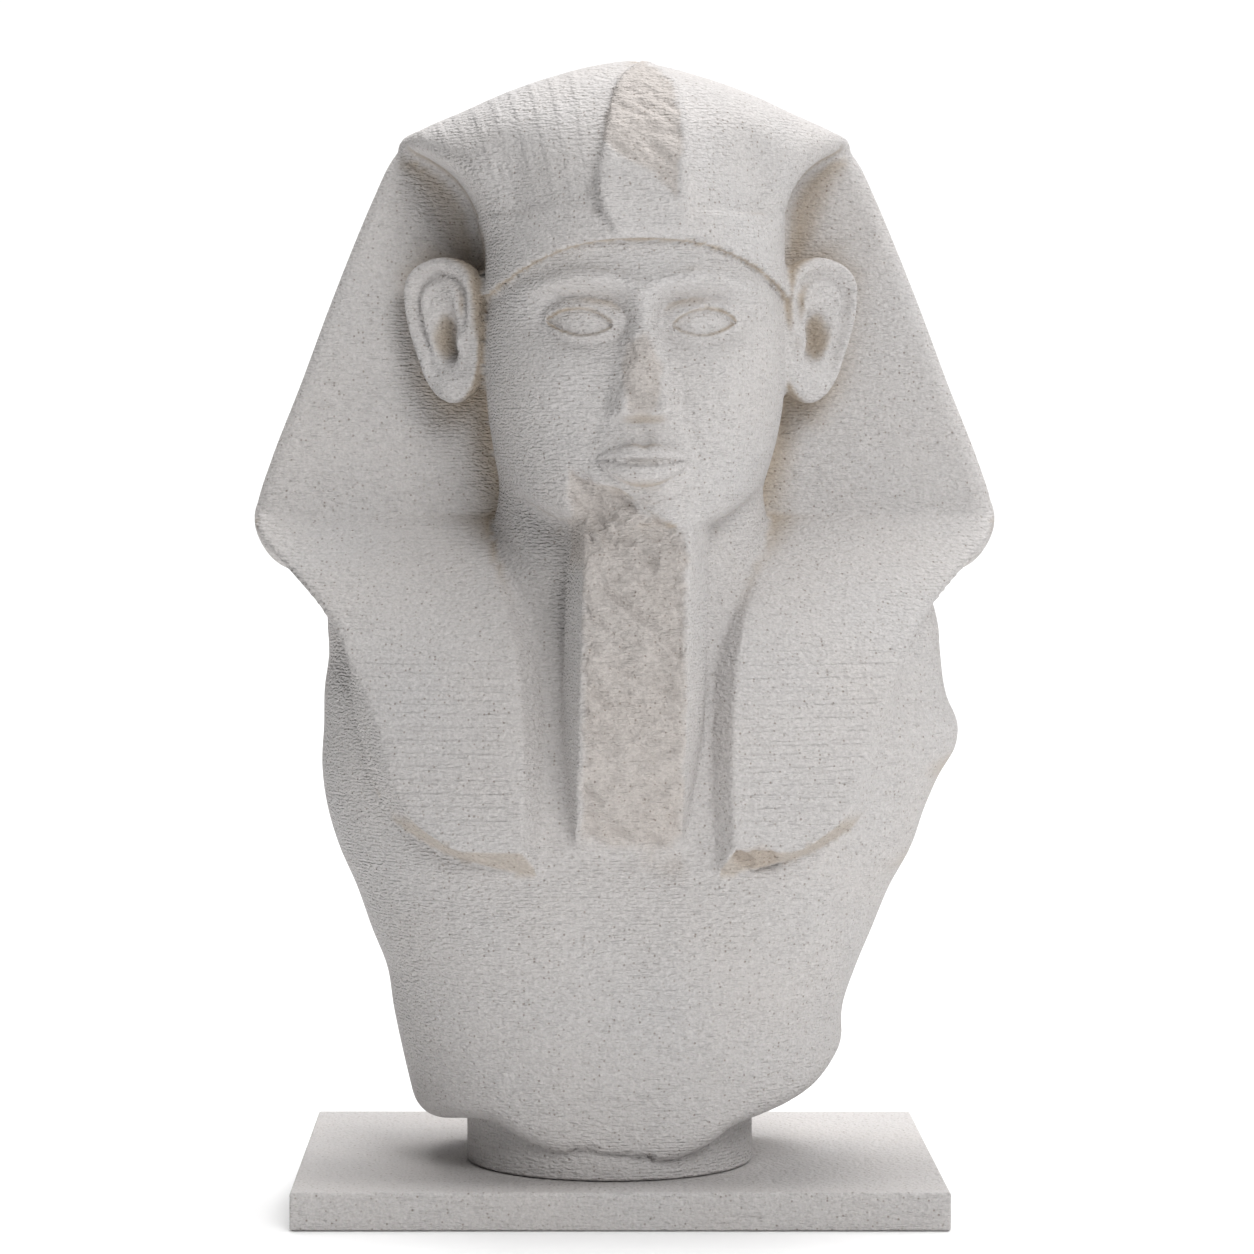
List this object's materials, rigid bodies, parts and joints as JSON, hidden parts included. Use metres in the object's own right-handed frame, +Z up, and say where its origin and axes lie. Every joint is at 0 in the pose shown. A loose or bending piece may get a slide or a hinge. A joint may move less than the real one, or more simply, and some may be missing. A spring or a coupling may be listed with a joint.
{
  "type": "pharaoh bust",
  "caption": "Broken stone bust of a king in a striped headcloth with a long false beard, standing on a short round drum and a flat rectangular slab",
  "frame": {"origin": "middle of the slab's underside, where the whole thing stands", "axes": "+Z up, the slab's long side along X, the face looks along -Y, the figure's right side towards -X"},
  "size_m": [0.2018, 0.1375, 0.3053],
  "materials": {
    "bust": "matt, finely speckled cast stone with rough breaks",
    "round_drum": "matt, finely speckled cast stone",
    "rectangular_slab": "matt, finely speckled cast stone"
  },
  "bodies": {
    "root": {"bust": "bust", "round_drum": "round_drum", "rectangular_slab": "rectangular_slab"}
  },
  "joints": []
}
